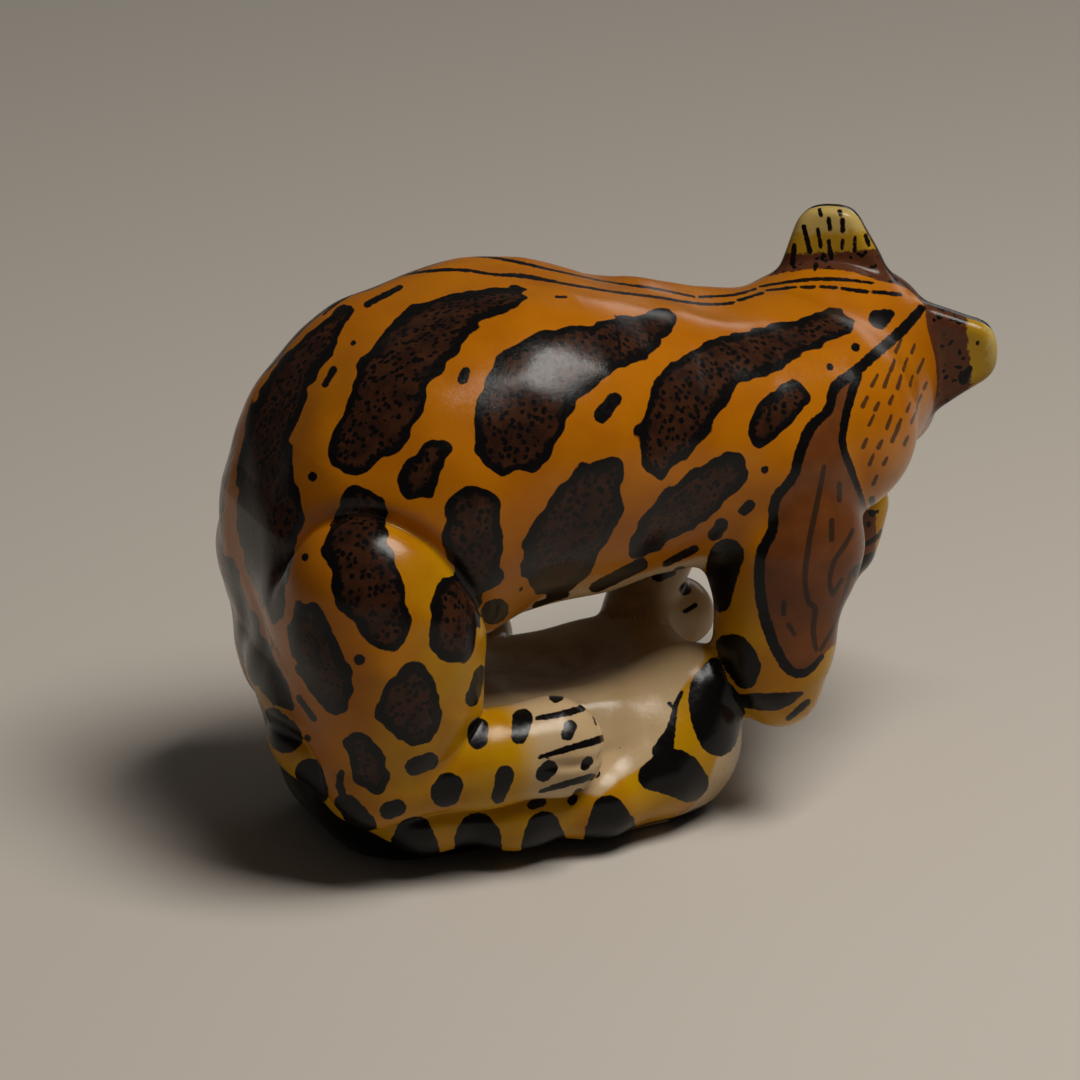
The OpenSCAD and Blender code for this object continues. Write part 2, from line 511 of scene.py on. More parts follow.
class Easel:
    """A plane that faces the figure; shapes drawn on it are laid onto the surface behind it."""

    def __init__(self, carving, right, up, origin):
        self.right, self.up, self.origin = np.array(right), np.array(up), np.array(origin)
        self.back = np.cross(self.right, self.up)
        self.carving = carving
        self.seen = self.flat(carving.points)

    def flat(self, points):
        """Points as seen on the plane: right, up, and towards the plane with depth squashed."""
        p = points - self.origin
        return np.stack((p @ self.right, p @ self.up, SQUASH * (p @ self.back)), -1)

    def land(self, u, v):
        """Where a point of the plane lands on the surface."""
        start = self.origin + u * self.right + v * self.up + STAND_OFF * self.back
        hit = self.carving.skin.ray_cast(Vector(start), Vector(-self.back))[0]
        if hit is None:
            start = start - (STAND_OFF - MISS_OFF) * self.back
            hit = self.carving.skin.find_nearest(Vector(start))[0]
        return np.array(hit)

    def draw(self, values, shape, spacing=0.4):
        """Lowers values to the distance from each vertex to a path laid on the surface."""
        path = []
        for u, v, r in smooth_path(shape, spacing):
            path.append((u, v, self.flat(self.land(u, v))[2], r))
        p = np.array(path)
        low = (p[:, :3] - p[:, 3:]).min(0) - 1.5
        high = (p[:, :3] + p[:, 3:]).max(0) + 1.5
        near = np.flatnonzero(((self.seen > low) & (self.seen < high)).all(1))
        x, y, z = self.seen[near].T
        for a, b in zip(path[:-1], path[1:]):
            values[near] = np.minimum(values[near], cone(x, y, z, a, b))


class FarEasel(Easel):
    """An easel's mirror image, on the other side of the figure's middle plane."""

    def __init__(self, easel):
        flip = np.array((1, -1, 1))
        self.right, self.up, self.back = easel.right * flip, easel.up * flip, easel.back * flip
        self.origin, self.carving = easel.origin, easel.carving
        self.seen = self.flat(easel.carving.points)


def smooth_path(shape, spacing):
    """A curve through a few (u, v, radius) points, as closely spaced points."""
    shape = [np.array(p, float) for p in shape]
    if len(shape) == 1:
        shape = shape * 2
    path = []
    for i in range(len(shape) - 1):
        before, a, b = shape[max(i - 1, 0)], shape[i], shape[i + 1]
        after = shape[min(i + 2, len(shape) - 1)]
        count = max(1, int(np.linalg.norm(b[:2] - a[:2]) / spacing))
        for j in range(count + (i == len(shape) - 2)):
            path.append(curve_point(before, a, b, after, j / count))
    return path


def curve_point(before, a, b, after, t):
    """A point between a and b on a smooth curve through four points."""
    return 0.5 * (2 * a + (b - before) * t + (2 * before - 5 * a + 4 * b - after) * t * t
                  + (3 * a - before - 3 * b + after) * t ** 3)


def polygon_distance(flat, corners):
    """Signed distance to a closed outline on a plane, negative inside."""
    corners = np.array(corners, float)
    nearest = np.full(len(flat), np.inf)
    inside = np.zeros(len(flat), bool)
    for a, b in zip(corners, np.roll(corners, -1, 0)):
        run, rel = b - a, flat - a
        h = np.clip(rel @ run / (run @ run), 0, 1)
        nearest = np.minimum(nearest, np.linalg.norm(rel - h[:, None] * run, axis=1))
        crosses = (a[1] > flat[:, 1]) != (b[1] > flat[:, 1])
        inside ^= crosses & (flat[:, 0] < a[0] + rel[:, 1] * run[0] / (run[1] if run[1] else 1e-9))
    return np.where(inside, -nearest, nearest)


# Marks are paths of (u, v, radius): to the right and upwards on the easel that faces the right flank
# Rosettes on the flank, the thigh and the rump: black outline, stippled brown inside
ROSETTES = [
    [(-16.6, 30.2, 0.7), (-18.7, 27.9, 1.3), (-20.4, 25.1, 1.65), (-21.4, 21.5, 2.0), (-21.3, 18, 2.4),
     (-21.3, 15.3, 2.0), (-21, 13.2, 1.3), (-20.7, 11.9, 0.8)],
    [(-5.9, 31.4, 0.9), (-8.4, 30.8, 1.35), (-11.1, 29.2, 2.2), (-13.3, 26.5, 2.3), (-13.8, 24.4, 2.35),
     (-15.1, 22.5, 2.0), (-16, 21.4, 1.15)],
    [(3.4, 30, 0.9), (1.8, 29, 1.5), (-0.8, 28, 1.75), (-3.7, 26.7, 2.4), (-5, 25.1, 2.85),
     (-5.8, 22.9, 2.6), (-6.5, 22, 1.7)],
    [(14.6, 30.1, 1.1), (12.3, 29.2, 1.35), (9.6, 28.1, 1.55), (6.9, 27, 1.85), (5.3, 25.3, 2.3),
     (4, 23.2, 2.05), (3, 21.5, 1.3)],
    [(11.9, 25.4, 0.95), (10.7, 24.2, 1.15), (9.6, 23, 1.0)],
    [(7.5, 20.3, 1.2), (5.3, 18.7, 1.7), (3.2, 16.8, 1.3), (2.1, 15.6, 0.7)],
    [(0.1, 20.3, 0.9), (-0.9, 19.2, 1.8), (-1.2, 18.2, 2.3), (-2.6, 16.1, 2.4), (-3.3, 14.4, 2.0),
     (-3.9, 13.7, 1.0)],
    [(-8.2, 17.6, 1.75), (-8.4, 16.1, 1.8), (-7.9, 14.3, 1.3)],
    [(-10.8, 21.7, 0.85), (-11.8, 19.9, 1.1), (-12.2, 19, 0.5)],
    [(-15.1, 17.8, 1.6), (-15.6, 15.7, 1.9), (-14.5, 13, 2.2), (-13.6, 10.5, 1.3)],
    [(-9.1, 13.7, 0.5), (-9.3, 12.2, 1.7), (-9.5, 10.1, 1.5)],
    [(-12, 7.4, 1.2), (-12.2, 6, 2.0), (-11.8, 4.6, 1.4)],
    [(-18.5, 11.2, 1.2), (-18.1, 9.2, 1.7), (-17.1, 6.9, 1.4), (-16.6, 5.8, 0.7)],
    [(-24, 14.6, 0.7), (-23.6, 12, 1.3), (-22.6, 9.4, 1.5), (-21.3, 7.4, 1.1), (-19.9, 5.9, 0.3)],
    [(-15.3, 3.5, 0.9), (-14.7, 1.7, 1.15), (-14.2, 1, 0.6)],
]
# Solid dots and blotches on both flanks
DOTS = [
    [(-15.1, 31, 0.25), (-13.1, 32.1, 0.25)], [(-15.9, 28.5, 0.2)],
    [(-17.6, 25.9, 0.25), (-17.1, 26.8, 0.25)], [(-18.3, 20.1, 0.3)], [(-18.7, 15.1, 0.25)],
    [(-9, 26.1, 0.33), (-8.8, 26.6, 0.3)], [(-3.2, 31.4, 0.12), (-2.6, 31.4, 0.12)],
    [(-0.4, 23.9, 0.5), (0.4, 24.9, 0.45)], [(-5.4, 13.1, 0.15)], [(-24.4, 17.4, 0.2)], [(-21, 9.5, 0.2)],
    [(-15.3, 8.8, 0.35)], [(-19.2, 6.3, 0.25), (-18.3, 5.1, 0.25)],
    [(17.5, 30.3, 0.7), (18.3, 30.7, 0.3)], [(15.8, 28.4, 0.3)], [(14.1, 27.1, 0.25)],
    [(9.9, 20.6, 0.25)], [(8.6, 18, 0.33), (9, 18.4, 0.35)], [(6.8, 16.5, 0.45), (7.2, 17.1, 0.45)],
    [(-7.9, 7.9, 0.5), (-8.4, 6.3, 0.5)], [(-7, 11.7, 0.9)], [(-4.4, 12.1, 0.35), (-2.7, 12.7, 0.35)],
    [(-0.6, 13.2, 0.5), (2.1, 14.6, 0.5)], [(3.8, 14.7, 0.3), (5.5, 15.6, 0.3)],
    [(0.5, 30.2, 0.06), (0.7, 28.6, 0.09), (0.8, 27.2, 0.05)],
]
# Solid dots on the hind feet
FOOT_DOTS = [
    [(-8.1, 4.4, 0.7), (-8.1, 3.7, 0.6)], [(-5.3, 5, 0.65), (-5.5, 3.9, 0.5)],
    [(-3.2, 6.3, 0.45), (-2.7, 6.6, 0.35)], [(-10.1, 0.4, 0.95), (-9.9, 0.8, 0.9)],
    [(-12, 2.1, 0.6), (-11.1, 2.4, 0.6)], [(-6.4, 1.5, 0.6), (-6.8, 0.1, 0.45)],
    [(-3.6, 1.9, 0.5), (-4, 1.5, 0.5)], [(-13.6, -0.7, 0.6), (-13.1, -0.5, 0.55)],
    [(-4.7, -0.5, 0.3), (-4.1, -0.3, 0.3)], [(-2.3, 4.5, 0.4), (-2.5, 4, 0.4)],
    [(-1.2, 2.3, 0.35), (-1.4, 2, 0.3)], [(-1.8, 0.3, 0.35), (-2.2, -0.3, 0.3)],
    [(-16.6, 1.7, 0.2), (-16.7, 0.8, 0.3), (-16.4, 0.2, 0.2)],
]
TOE_LINES = [
    [(-4.4, 5, 0.14), (-2.7, 5.3, 0.22), (-0.8, 5.8, 0.24)],
    [(-4.2, 2.6, 0.14), (-2.1, 3.2, 0.22), (0.1, 3.8, 0.24)],
    [(-4.2, 0.4, 0.14), (-2.5, 0.9, 0.22), (-0.6, 1.4, 0.24)], [(-1, 5.4, 0.12), (-0.7, 4.6, 0.1)],
]
TAIL_BLOTCHES = [
    [(-20.9, 4.8, 0.9), (-20.2, 4, 1.2)], [(-18.6, 1.5, 1.0), (-18.4, 0.7, 1.15)], [(-18.7, 3.8, 0.25)],
    [(-16.3, -0.4, 0.8), (-15.6, -1.6, 1.2)], [(-12.1, -2.1, 1.1), (-12.1, -3.6, 1.7)],
    [(-8.15, -2.2, 1.25), (-8.1, -3.6, 2.0)], [(-4, -2, 1.1), (-4, -3.4, 1.6)],
    [(0.1, -1, 1.05), (0.3, -2.6, 1.8)], [(2.9, 1.2, 0.9), (4.3, 1.4, 1.5), (5.4, 0.6, 1.2)],
    [(3.6, 2.8, 0.7), (4.1, 4.2, 0.28), (4.4, 5.6, 0.18), (4.8, 6.5, 0.12)],
    [(6.9, 8.2, 0.5), (6.6, 6.6, 1.3), (7.1, 5.1, 1.8), (7.2, 3.8, 1.4)],
    [(4, 5.8, 0.15), (4.3, 5.5, 0.12)],
]
# Where the tail's dye stops: bare nut on the foot's side, and on the outer side of its tip
TAIL_TOP = [(-2, 0.3), (-0.4, 0), (0.8, 1), (1.9, 1.6), (2.9, 2.3), (3.7, 3.3), (4.2, 5), (4.7, 6.6),
            (6.3, 8.6), (6, 11), (-2, 11)]
TAIL_TIP = [(9.5, 5.2), (8, 3.6), (7, 2.2), (6.4, 0.4), (5.5, -1.5), (12, -1.5), (12, 5.2)]
FORELEG_SPOTS = [
    [(7.6, 15.2, 1.1), (7.2, 13.7, 1.05), (7.2, 12.4, 0.8)],
    [(7.4, 9.5, 0.5), (8.1, 9.1, 1.1), (8.7, 8.1, 1.1), (8.8, 7.5, 0.8)],
    [(8.7, 5.9, 0.5), (10.8, 5.9, 0.6), (12.4, 6.4, 0.15)], [(11.6, 4.8, 0.2), (12.8, 5.8, 0.25)],
    [(5.2, 13, 0.45)], [(4.6, 14.3, 0.4), (3.4, 13.8, 0.35)], [(5.2, 11.5, 0.15), (5.9, 11.9, 0.15)],
]
RAISED_PAW_MARKS = [
    [(16.9, 18.8, 0.22), (17.2, 17.9, 0.25)], [(17, 17.2, 0.2)], [(17.6, 18, 0.13)],
    [(16.8, 15.9, 0.16), (17.4, 16.2, 0.18), (18.2, 17, 0.15)], [(16, 14.2, 0.5), (17.2, 15, 0.4)],
]
EAR_MARKS = [
    [(12.8, 36.4, 0.15), (13.2, 34.8, 0.17)], [(13.7, 36.2, 0.13), (13.9, 35.1, 0.15)],
    [(14.4, 36.9, 0.14), (14.5, 36.2, 0.15)], [(15.3, 36.8, 0.15), (15.3, 36.1, 0.15)],
    [(12.2, 35.2, 0.15), (12.1, 34, 0.17)], [(14.4, 35.5, 0.14), (14.6, 34.3, 0.15)],
    [(15.3, 35.5, 0.13), (15.3, 35, 0.13)], [(16.1, 35.7, 0.13), (16.1, 34.8, 0.13)],
    [(16.8, 35.8, 0.15), (17, 35.2, 0.15)], [(13.8, 37.5, 0.13), (13.9, 37.1, 0.13)],
    [(15.1, 37.4, 0.12), (15.2, 37.1, 0.12)], [(13.6, 34, 0.15), (13.5, 33.6, 0.13)], [(21.6, 30.6, 0.2)],
    [(22.9, 30.3, 0.2)], [(24.1, 28.9, 0.15)], [(23.2, 27.9, 0.15)],
    [(23.6, 27.3, 0.2), (23.2, 26.5, 0.3)],
]
# The face, drawn from in front of it: the first number runs to the cat's left, the second up
FACE_LINES = [
    [(0.7, 3.4, 0.16), (0.8, 4.6, 0.25), (1.1, 6.2, 0.3)], [(2.1, 3.6, 0.14), (2.5, 4.8, 0.22)],
    [(1.1, 1, 0.14), (1.9, 2, 0.17), (3, 2.4, 0.18), (3.9, 2.2, 0.14)],
    [(1.1, 1, 0.14), (2.2, 0.8, 0.14), (3.3, 1.2, 0.14), (3.9, 2.2, 0.14)],
    [(1.1, 1, 0.14), (0.9, -0.1, 0.16), (1.2, -0.9, 0.12)],
    [(4.1, 1.6, 0.14), (5, 1.1, 0.18), (5.8, 1.3, 0.14)],
    [(3.3, -0.8, 0.13), (4.5, -1.2, 0.18), (5.4, -0.9, 0.14)], [(2.5, 1.1, 0.14), (2.5, 1.9, 0.14)],
    [(1.1, -2.1, 0.11)], [(1.8, -1.9, 0.11)], [(2.4, -2.2, 0.1)], [(1.4, -2.7, 0.11)], [(2.1, -2.8, 0.1)],
    [(0, -1, 0.12), (0, -2.9, 0.12), (1.2, -3.3, 0.13), (2.3, -3, 0.1)],
    [(0, -0.8, 0.3), (0.7, -0.5, 0.25)],
]
EYE = [(1.7, 1.3, 0.45), (2.5, 1.6, 0.6), (3.3, 1.8, 0.4)]
# The brown shoulder: its black border, and the contours drawn inside it
SHOULDER_BACK = [(20.4, 31.1, 0.3), (19, 29.6, 0.35), (17.1, 28, 0.35), (15.7, 26.8, 0.35),
                 (14.4, 25.8, 0.35), (14, 24.4, 0.3), (12.8, 23.2, 0.35), (12.1, 21.5, 0.35),
                 (11.7, 20.1, 0.32), (10.6, 18.7, 0.32), (10.4, 16.7, 0.32), (9.7, 15.2, 0.33),
                 (9.7, 12.8, 0.35), (10.3, 10.3, 0.35), (11.2, 8.4, 0.32), (12, 7.7, 0.3),
                 (12.9, 7.9, 0.25), (13.7, 8.8, 0.15)]
SHOULDER_FRONT = [(15.9, 26.6, 0.3), (15.2, 24.4, 0.28), (14.9, 22.3, 0.25), (15.4, 20.8, 0.25),
                  (16.4, 18.4, 0.15)]
SHOULDER_CONTOURS = [
    [(13.7, 20.8, 0.14), (13.3, 18.7, 0.17), (12.8, 16.3, 0.17), (12.5, 13.8, 0.17), (12.8, 12.2, 0.17),
     (13.2, 11.9, 0.17), (13.1, 10.3, 0.17), (13.3, 9.2, 0.14)],
    [(15.6, 16.8, 0.13), (15.1, 15.9, 0.15), (14.3, 14.7, 0.15), (14.1, 13.3, 0.15), (14.3, 12.7, 0.15),
     (14.9, 13.7, 0.12)],
    [(14.7, 19.7, 0.17), (14.7, 18.7, 0.17)], [(14.2, 17.4, 0.17), (14.2, 16.2, 0.17)],
    [(11.2, 12.2, 0.16), (11.2, 11.5, 0.16)], [(11.5, 10.8, 0.15), (11.9, 10.2, 0.13)],
    [(13.6, 9.2, 0.12), (14.6, 11, 0.12), (15.5, 14.2, 0.1)],
]
SHOULDER = [p[:2] for p in SHOULDER_BACK[3:]] + [(17.5, 12), (17.5, 17.8)]
SHOULDER += [p[:2] for p in SHOULDER_FRONT[::-1]]
DORSAL_LINES = [
    [(-17.9, 30.4, 0.08), (-16.2, 31.7, 0.12), (-13.6, 32.8, 0.13), (-11.1, 33.2, 0.14),
     (-8.9, 33.2, 0.14), (-7.1, 32.9, 0.14), (-5.2, 32.8, 0.22), (-2.6, 32.3, 0.14), (0.1, 31.9, 0.15),
     (3.1, 31.6, 0.15), (6.1, 31.2, 0.15), (8.1, 31.3, 0.14)],
    [(8.5, 31.5, 0.14), (10, 32, 0.15)], [(10.4, 32.2, 0.14), (12.2, 32.4, 0.15)],
    [(12.6, 32.4, 0.14), (13.4, 32.4, 0.14)], [(13.8, 32.4, 0.13), (14.8, 32.4, 0.13)],
    [(15.2, 32.3, 0.13), (16.8, 32.1, 0.14)], [(17.2, 32.1, 0.13), (19, 32, 0.15)],
    [(-13.6, 33.1, 0.08), (-10.7, 34, 0.13), (-8, 34.2, 0.15), (-5.7, 33.8, 0.14), (-2.6, 33.1, 0.14),
     (0.1, 32.6, 0.14), (3.1, 32.2, 0.13), (5.6, 31.7, 0.12)],
    [(6, 31.7, 0.12), (8.3, 31.9, 0.14), (9.6, 32.3, 0.14)],
    [(10, 32.5, 0.13), (12.9, 32.9, 0.14), (15.5, 32.9, 0.13), (17.2, 32.7, 0.1)],
]
# The neck and cheek that the short hair strokes cover
CHEEK_AREA = [(20.5, 29.7), (20.9, 25.2), (19.8, 22.1), (16.9, 18.8), (15.6, 21.8), (16, 25.9),
              (18.1, 28.3)]


def hair_strokes(rng):
    """Short slanted pen strokes over the neck and cheek, in staggered rows."""
    strokes = []
    for row in range(11):
        for column in range(8):
            u = 14.8 + 0.95 * column + 0.4 * (row % 2) + rng.uniform(-0.15, 0.15)
            v = 18.6 + 1.2 * row + rng.uniform(-0.25, 0.25)
            length = rng.uniform(0.35, 0.95)
            lean = length * rng.uniform(0.35, 0.55)
            width = rng.uniform(0.11, 0.16)
            root = np.array([[u, v]])
            if polygon_distance(root, CHEEK_AREA)[0] < -0.25:
                strokes.append([(u, v, width), (u + lean, v + length, width * 0.7)])
    return strokes


def other_side(shape, rng):
    """The same mark put on the other side by a hand that doesn't repeat itself."""
    du, dv, grow = rng.uniform(-0.5, 0.5), rng.uniform(-0.9, -0.1), rng.uniform(0.88, 1.08)
    return [(u + du, v + dv, r * grow) for u, v, r in shape]


def head_places(points):
    """Points measured forward, left and up from the head's middle."""
    return (points - HEAD_AT) @ head_axes().T


def cap_distance(points):
    """Signed distance, roughly, to the edge of the brown cap on the back of the head."""
    ahead, left, up = head_places(points).T
    back_edge = -2.7 + 1.8 * np.exp(-((left + 0.7) / 1.6) ** 2)
    front_edge = 2.6 + 1.2 * np.cos(left * 1.5)
    low_edge = 1.2 + 0.6 * np.maximum(ahead, 0)
    return np.maximum.reduce([back_edge - ahead, low_edge - up, ahead - front_edge])


# Half the width of the black line round an ear's rim
RIM_WIDTH = 0.34


def ear_marks(points):
    """How far each point lies towards an ear's tip, and its distance from the ear's rim."""
    ahead, left, up = head_places(points).T
    corners = [np.array(p[:3]) for p in EAR]
    root = (corners[0] + corners[1]) / 2
    run = (corners[2] - root) / np.linalg.norm(corners[2] - root)
    place = np.stack((ahead, np.abs(left), up), 1)
    across, beside = triangle_distances(*place.T, corners)
    return (place - root) @ run, np.hypot(EAR[0][3] - beside, across) - RIM_WIDTH


def mark_sides(near, far, rng):
    """The marks that both sides of the body carry, as distances from the rosettes and from solid ink."""
    ours, theirs = ({name: np.full(len(near.seen), NO_MARK) for name in ("rosette", "ink")}
                    for side in range(2))
    for name, shapes in (("rosette", ROSETTES), ("ink", DOTS + FOOT_DOTS)):
        for shape in shapes:
            near.draw(ours[name], shape)
            far.draw(theirs[name], other_side(shape, rng))
    for shape in TOE_LINES:
        near.draw(ours["ink"], shape)
        # the left foot's place on the far easel, from the right foot's on the near one
        far.draw(theirs["ink"], [(u + 1.85, v + 0.25, r) for u, v, r in shape])
    # the far marks keep to the left flank, and off the undyed nut
    x, y, z = near.carving.points.T
    reach = 4.2 + 1.6 * step_between(z, 22, 28)
    for name, values in theirs.items():
        ours[name] = np.minimum(ours[name], np.maximum(values, reach - y))
        ours[name][near.carving.on("base", "left_forepaw")] = NO_MARK
    return ours


def ink_and_shade_lower_edge(carving, ink):
    """Paints the lower edge black down to the table, partly ink and partly painted shade where the figure
    meets the table: higher at the heel, and lower on the far side.
    """
    x, y, z = carving.points.T
    wall = carving.on("base", "tail", "right_hind_foot") & (carving.normals[:, 2] > -0.85)
    level = 1.1 + 1.8 * step_between(-x, 7, 13) - 3 * step_between(y, -6, 1) * step_between(x, -13, -9)
    ink[wall] = np.minimum(ink, z - level)[wall]
    heel = wall & carving.on("base")
    ink[heel] = np.minimum(ink, z - level - 3 * step_between(-x, 4, 9))[heel]


def paint(carving, near):
    """Distances in millimetres from every vertex to each kind of mark."""
    rng = np.random.default_rng(7)
    points = carving.points
    face = Easel(carving, head_axes()[1], head_axes()[2], HEAD_AT)
    marks = mark_sides(near, FarEasel(near), rng)
    for name in ("stroke", "eye"):
        marks[name] = np.full(len(points), NO_MARK)
    solid = TAIL_BLOTCHES + FORELEG_SPOTS + RAISED_PAW_MARKS + EAR_MARKS + DORSAL_LINES
    for shape in solid + [SHOULDER_BACK, SHOULDER_FRONT]:
        near.draw(marks["ink"], shape)
    for shape in SHOULDER_CONTOURS + hair_strokes(rng):
        near.draw(marks["stroke"], shape)
    for side in (1, -1):
        for shape in FACE_LINES:
            face.draw(marks["ink"], [(side * u, v, r) for u, v, r in shape], 0.2)
        face.draw(marks["eye"], [(side * u, v, r) for u, v, r in EYE], 0.2)
    flat = near.flat(points)[:, :2]
    marks["shoulder"] = np.where(points[:, 1] < -1.5, polygon_distance(flat, SHOULDER), NO_MARK)

    head = carving.on("head", "left_ear", "right_ear")
    ears = carving.on("left_ear", "right_ear")
    along, rim = ear_marks(points)
    marks["crown"] = np.where(head, cap_distance(points), NO_MARK)
    marks["ink"][ears] = np.minimum(marks["ink"], rim)[ears]
    # how far along an ear its pale tip starts, on the left ear and on the right one
    tip_edge = np.where(head_places(points)[:, 1] > 0, 2.6, 3.7)
    marks["ear_tip"] = np.where(ears, tip_edge - along, NO_MARK)
    # black along the lower edge: ink, and painted shade next to the table
    ink_and_shade_lower_edge(carving, marks["ink"])
    return marks


# ---- materials

def new_material(name):
    material = bpy.data.materials.new(name)
    material.use_nodes = True
    tree = material.node_tree
    return material, tree, tree.nodes["Principled BSDF"]


def link(tree, source, target):
    tree.links.new(source, target)


def math_node(tree, kind, a, b):
    """A Math node; a is a socket, and b a socket or a number."""
    node = tree.nodes.new("ShaderNodeMath")
    node.operation = kind
    link(tree, a, node.inputs[0])
    if isinstance(b, float):
        node.inputs[1].default_value = b
    else:
        link(tree, b, node.inputs[1])
    return node.outputs[0]


def noise(tree, vector, scale, detail, roughness=0.5):
    node = tree.nodes.new("ShaderNodeTexNoise")
    node.inputs["Scale"].default_value = scale
    node.inputs["Detail"].default_value = detail
    node.inputs["Roughness"].default_value = roughness
    link(tree, vector, node.inputs["Vector"])
    return node.outputs["Fac"]


def dots(tree, vector, scale):
    """Distance from the nearest of some scattered points, in cells."""
    node = tree.nodes.new("ShaderNodeTexVoronoi")
    node.inputs["Scale"].default_value = scale
    link(tree, vector, node.inputs["Vector"])
    return node.outputs["Distance"]


def attribute(tree, name):
    node = tree.nodes.new("ShaderNodeAttribute")
    node.attribute_name = name
    return node.outputs["Fac"]


def ramp(tree, value, low, high, out_low=0.0, out_high=1.0):
    """Eases from out_low to out_high as value goes from low to high."""
    node = tree.nodes.new("ShaderNodeMapRange")
    node.interpolation_type = "SMOOTHSTEP"
    link(tree, value, node.inputs["Value"])
    for key, number in (("From Min", low), ("From Max", high), ("To Min", out_low), ("To Max", out_high)):
        node.inputs[key].default_value = number
    return node.outputs["Result"]


def mix(tree, factor, a, b):
    """Mixes two colours, each a socket or an (r, g, b), by a factor's socket."""
    node = tree.nodes.new("ShaderNodeMix")
    node.data_type = "RGBA"
    link(tree, factor, node.inputs[0])
    for socket, value in ((node.inputs[6], a), (node.inputs[7], b)):
        if isinstance(value, tuple):
            socket.default_value = (*value, 1)
        else:
            link(tree, value, socket)
    return node.outputs[2]


CREAM = (0.47, 0.34, 0.19)
AGED_CREAM = (0.36, 0.23, 0.10)
# The brown of stain and painted shade on the bare nut
SHADE_AND_STAIN_BROWN = (0.17, 0.075, 0.022)
ORANGE = (0.40, 0.128, 0.001)
DEEP_ORANGE = (0.30, 0.080, 0.001)
YELLOW = (0.42, 0.215, 0.001)
SHOULDER_BROWN = (0.16, 0.047, 0.009)
SHOULDER_DARK = (0.075, 0.022, 0.006)
EAR_OCHRE = (0.33, 0.19, 0.01)
EAR_PALE = (0.40, 0.29, 0.09)
AMBER = (0.50, 0.26, 0.01)
UMBER = (0.050, 0.017, 0.008)
CROWN_BROWN = (0.10, 0.032, 0.012)
ROSETTE_BROWN = (0.040, 0.013, 0.005)
ROSETTE_DARK = (0.020, 0.007, 0.004)
PEN_BROWN = (0.02, 0.012, 0.008)
BLACK = (0.003, 0.0025, 0.0025)


def in_millimetres(tree):
    """The object's own coordinates, in millimetres."""
    place = tree.nodes.new("ShaderNodeTexCoord").outputs["Object"]
    scale = tree.nodes.new("ShaderNodeVectorMath")
    scale.operation = "SCALE"
    scale.inputs["Scale"].default_value = 1 / MM
    link(tree, place, scale.inputs[0])
    return scale.outputs[0]


def pushed(tree, value, wobble, amount):
    """A value pushed up and down by a wobble, so that its contours wander."""
    return math_node(tree, "ADD", value, math_node(tree, "MULTIPLY", wobble, amount))


def within(tree, name, wobble, amount, soft_in, soft_out, strength=1.0):
    """How much of a mark's colour shows: strength inside its wandering edge, 0 outside it."""
    distance = pushed(tree, attribute(tree, name), wobble, amount)
    return ramp(tree, distance, soft_in, soft_out, strength, 0.0)


def nut_and_dye(tree, at):
    """Bare nut, aged, stained and browned with painted shade, under orange and yellow dye."""
    clouds = noise(tree, at, 0.25, 3.0)
    dyed = mix(tree, attribute(tree, "yellow"), ORANGE, YELLOW)
    dyed = mix(tree, ramp(tree, clouds, 0.35, 0.75, 0.0, 0.55), dyed, DEEP_ORANGE)
    bare = mix(tree, ramp(tree, clouds, 0.3, 0.7, 0.0, 0.35), CREAM, AGED_CREAM)
    # the bare nut browned in patches by stain and painted shade
    blots = ramp(tree, noise(tree, at, 0.5, 4.0, 0.6), 0.2, 0.7)
    bare = mix(tree, math_node(tree, "MULTIPLY", attribute(tree, "shade_and_stain"), blots), bare, SHADE_AND_STAIN_BROWN)
    return mix(tree, attribute(tree, "dye"), bare, dyed)


def painted_areas(tree, at, fine, colour):
    """The brown shoulder, the flecked crown, the ears' pale tips and the eyes, over the dye."""
    patch = mix(tree, noise(tree, at, 0.9, 4.0), SHOULDER_BROWN, SHOULDER_DARK)
    colour = mix(tree, within(tree, "shoulder", fine, 0.3, -0.05, 0.05), colour, patch)
    flecks = ramp(tree, noise(tree, at, 1.7, 1.0), 0.60, 0.66)
    crown = mix(tree, noise(tree, at, 2.5, 3.0), UMBER, CROWN_BROWN)
    crown = mix(tree, flecks, crown, BLACK)
    colour = mix(tree, within(tree, "crown", fine, 0.5, -0.1, 0.1), colour, crown)
    tip = mix(tree, within(tree, "ear_tip", fine, 1.5, -1.6, -0.9), EAR_OCHRE, EAR_PALE)
    colour = mix(tree, within(tree, "ear_tip", fine, 0.8, -0.1, 0.1), colour, tip)
    return mix(tree, ramp(tree, attribute(tree, "eye"), -0.05, 0.05, 1.0, 0.0), colour, AMBER)


def rosettes(tree, at, fine, slow, colour):
    """Rosettes: a black outline that wanders, round a brown heart stippled with black."""
    wander = pushed(tree, math_node(tree, "MULTIPLY", slow, 1.3), fine, 0.15)
    rosette = pushed(tree, attribute(tree, "rosette"), wander, 1.0)
    inside = ramp(tree, rosette, -0.03, 0.04, 1.0, 0.0)
    heart = ramp(tree, pushed(tree, rosette, fine, 0.8), -0.72, -0.45, 1.0, 0.0)
    brown = mix(tree, ramp(tree, noise(tree, at, 0.8, 3.0), 0.35, 0.65), ROSETTE_BROWN, ROSETTE_DARK)
    stipple = pushed(tree, dots(tree, at, 2.2), fine, 0.9)
    speckled = mix(tree, ramp(tree, stipple, 0.36, 0.46), BLACK, brown)
    return mix(tree, inside, colour, mix(tree, heart, BLACK, speckled))


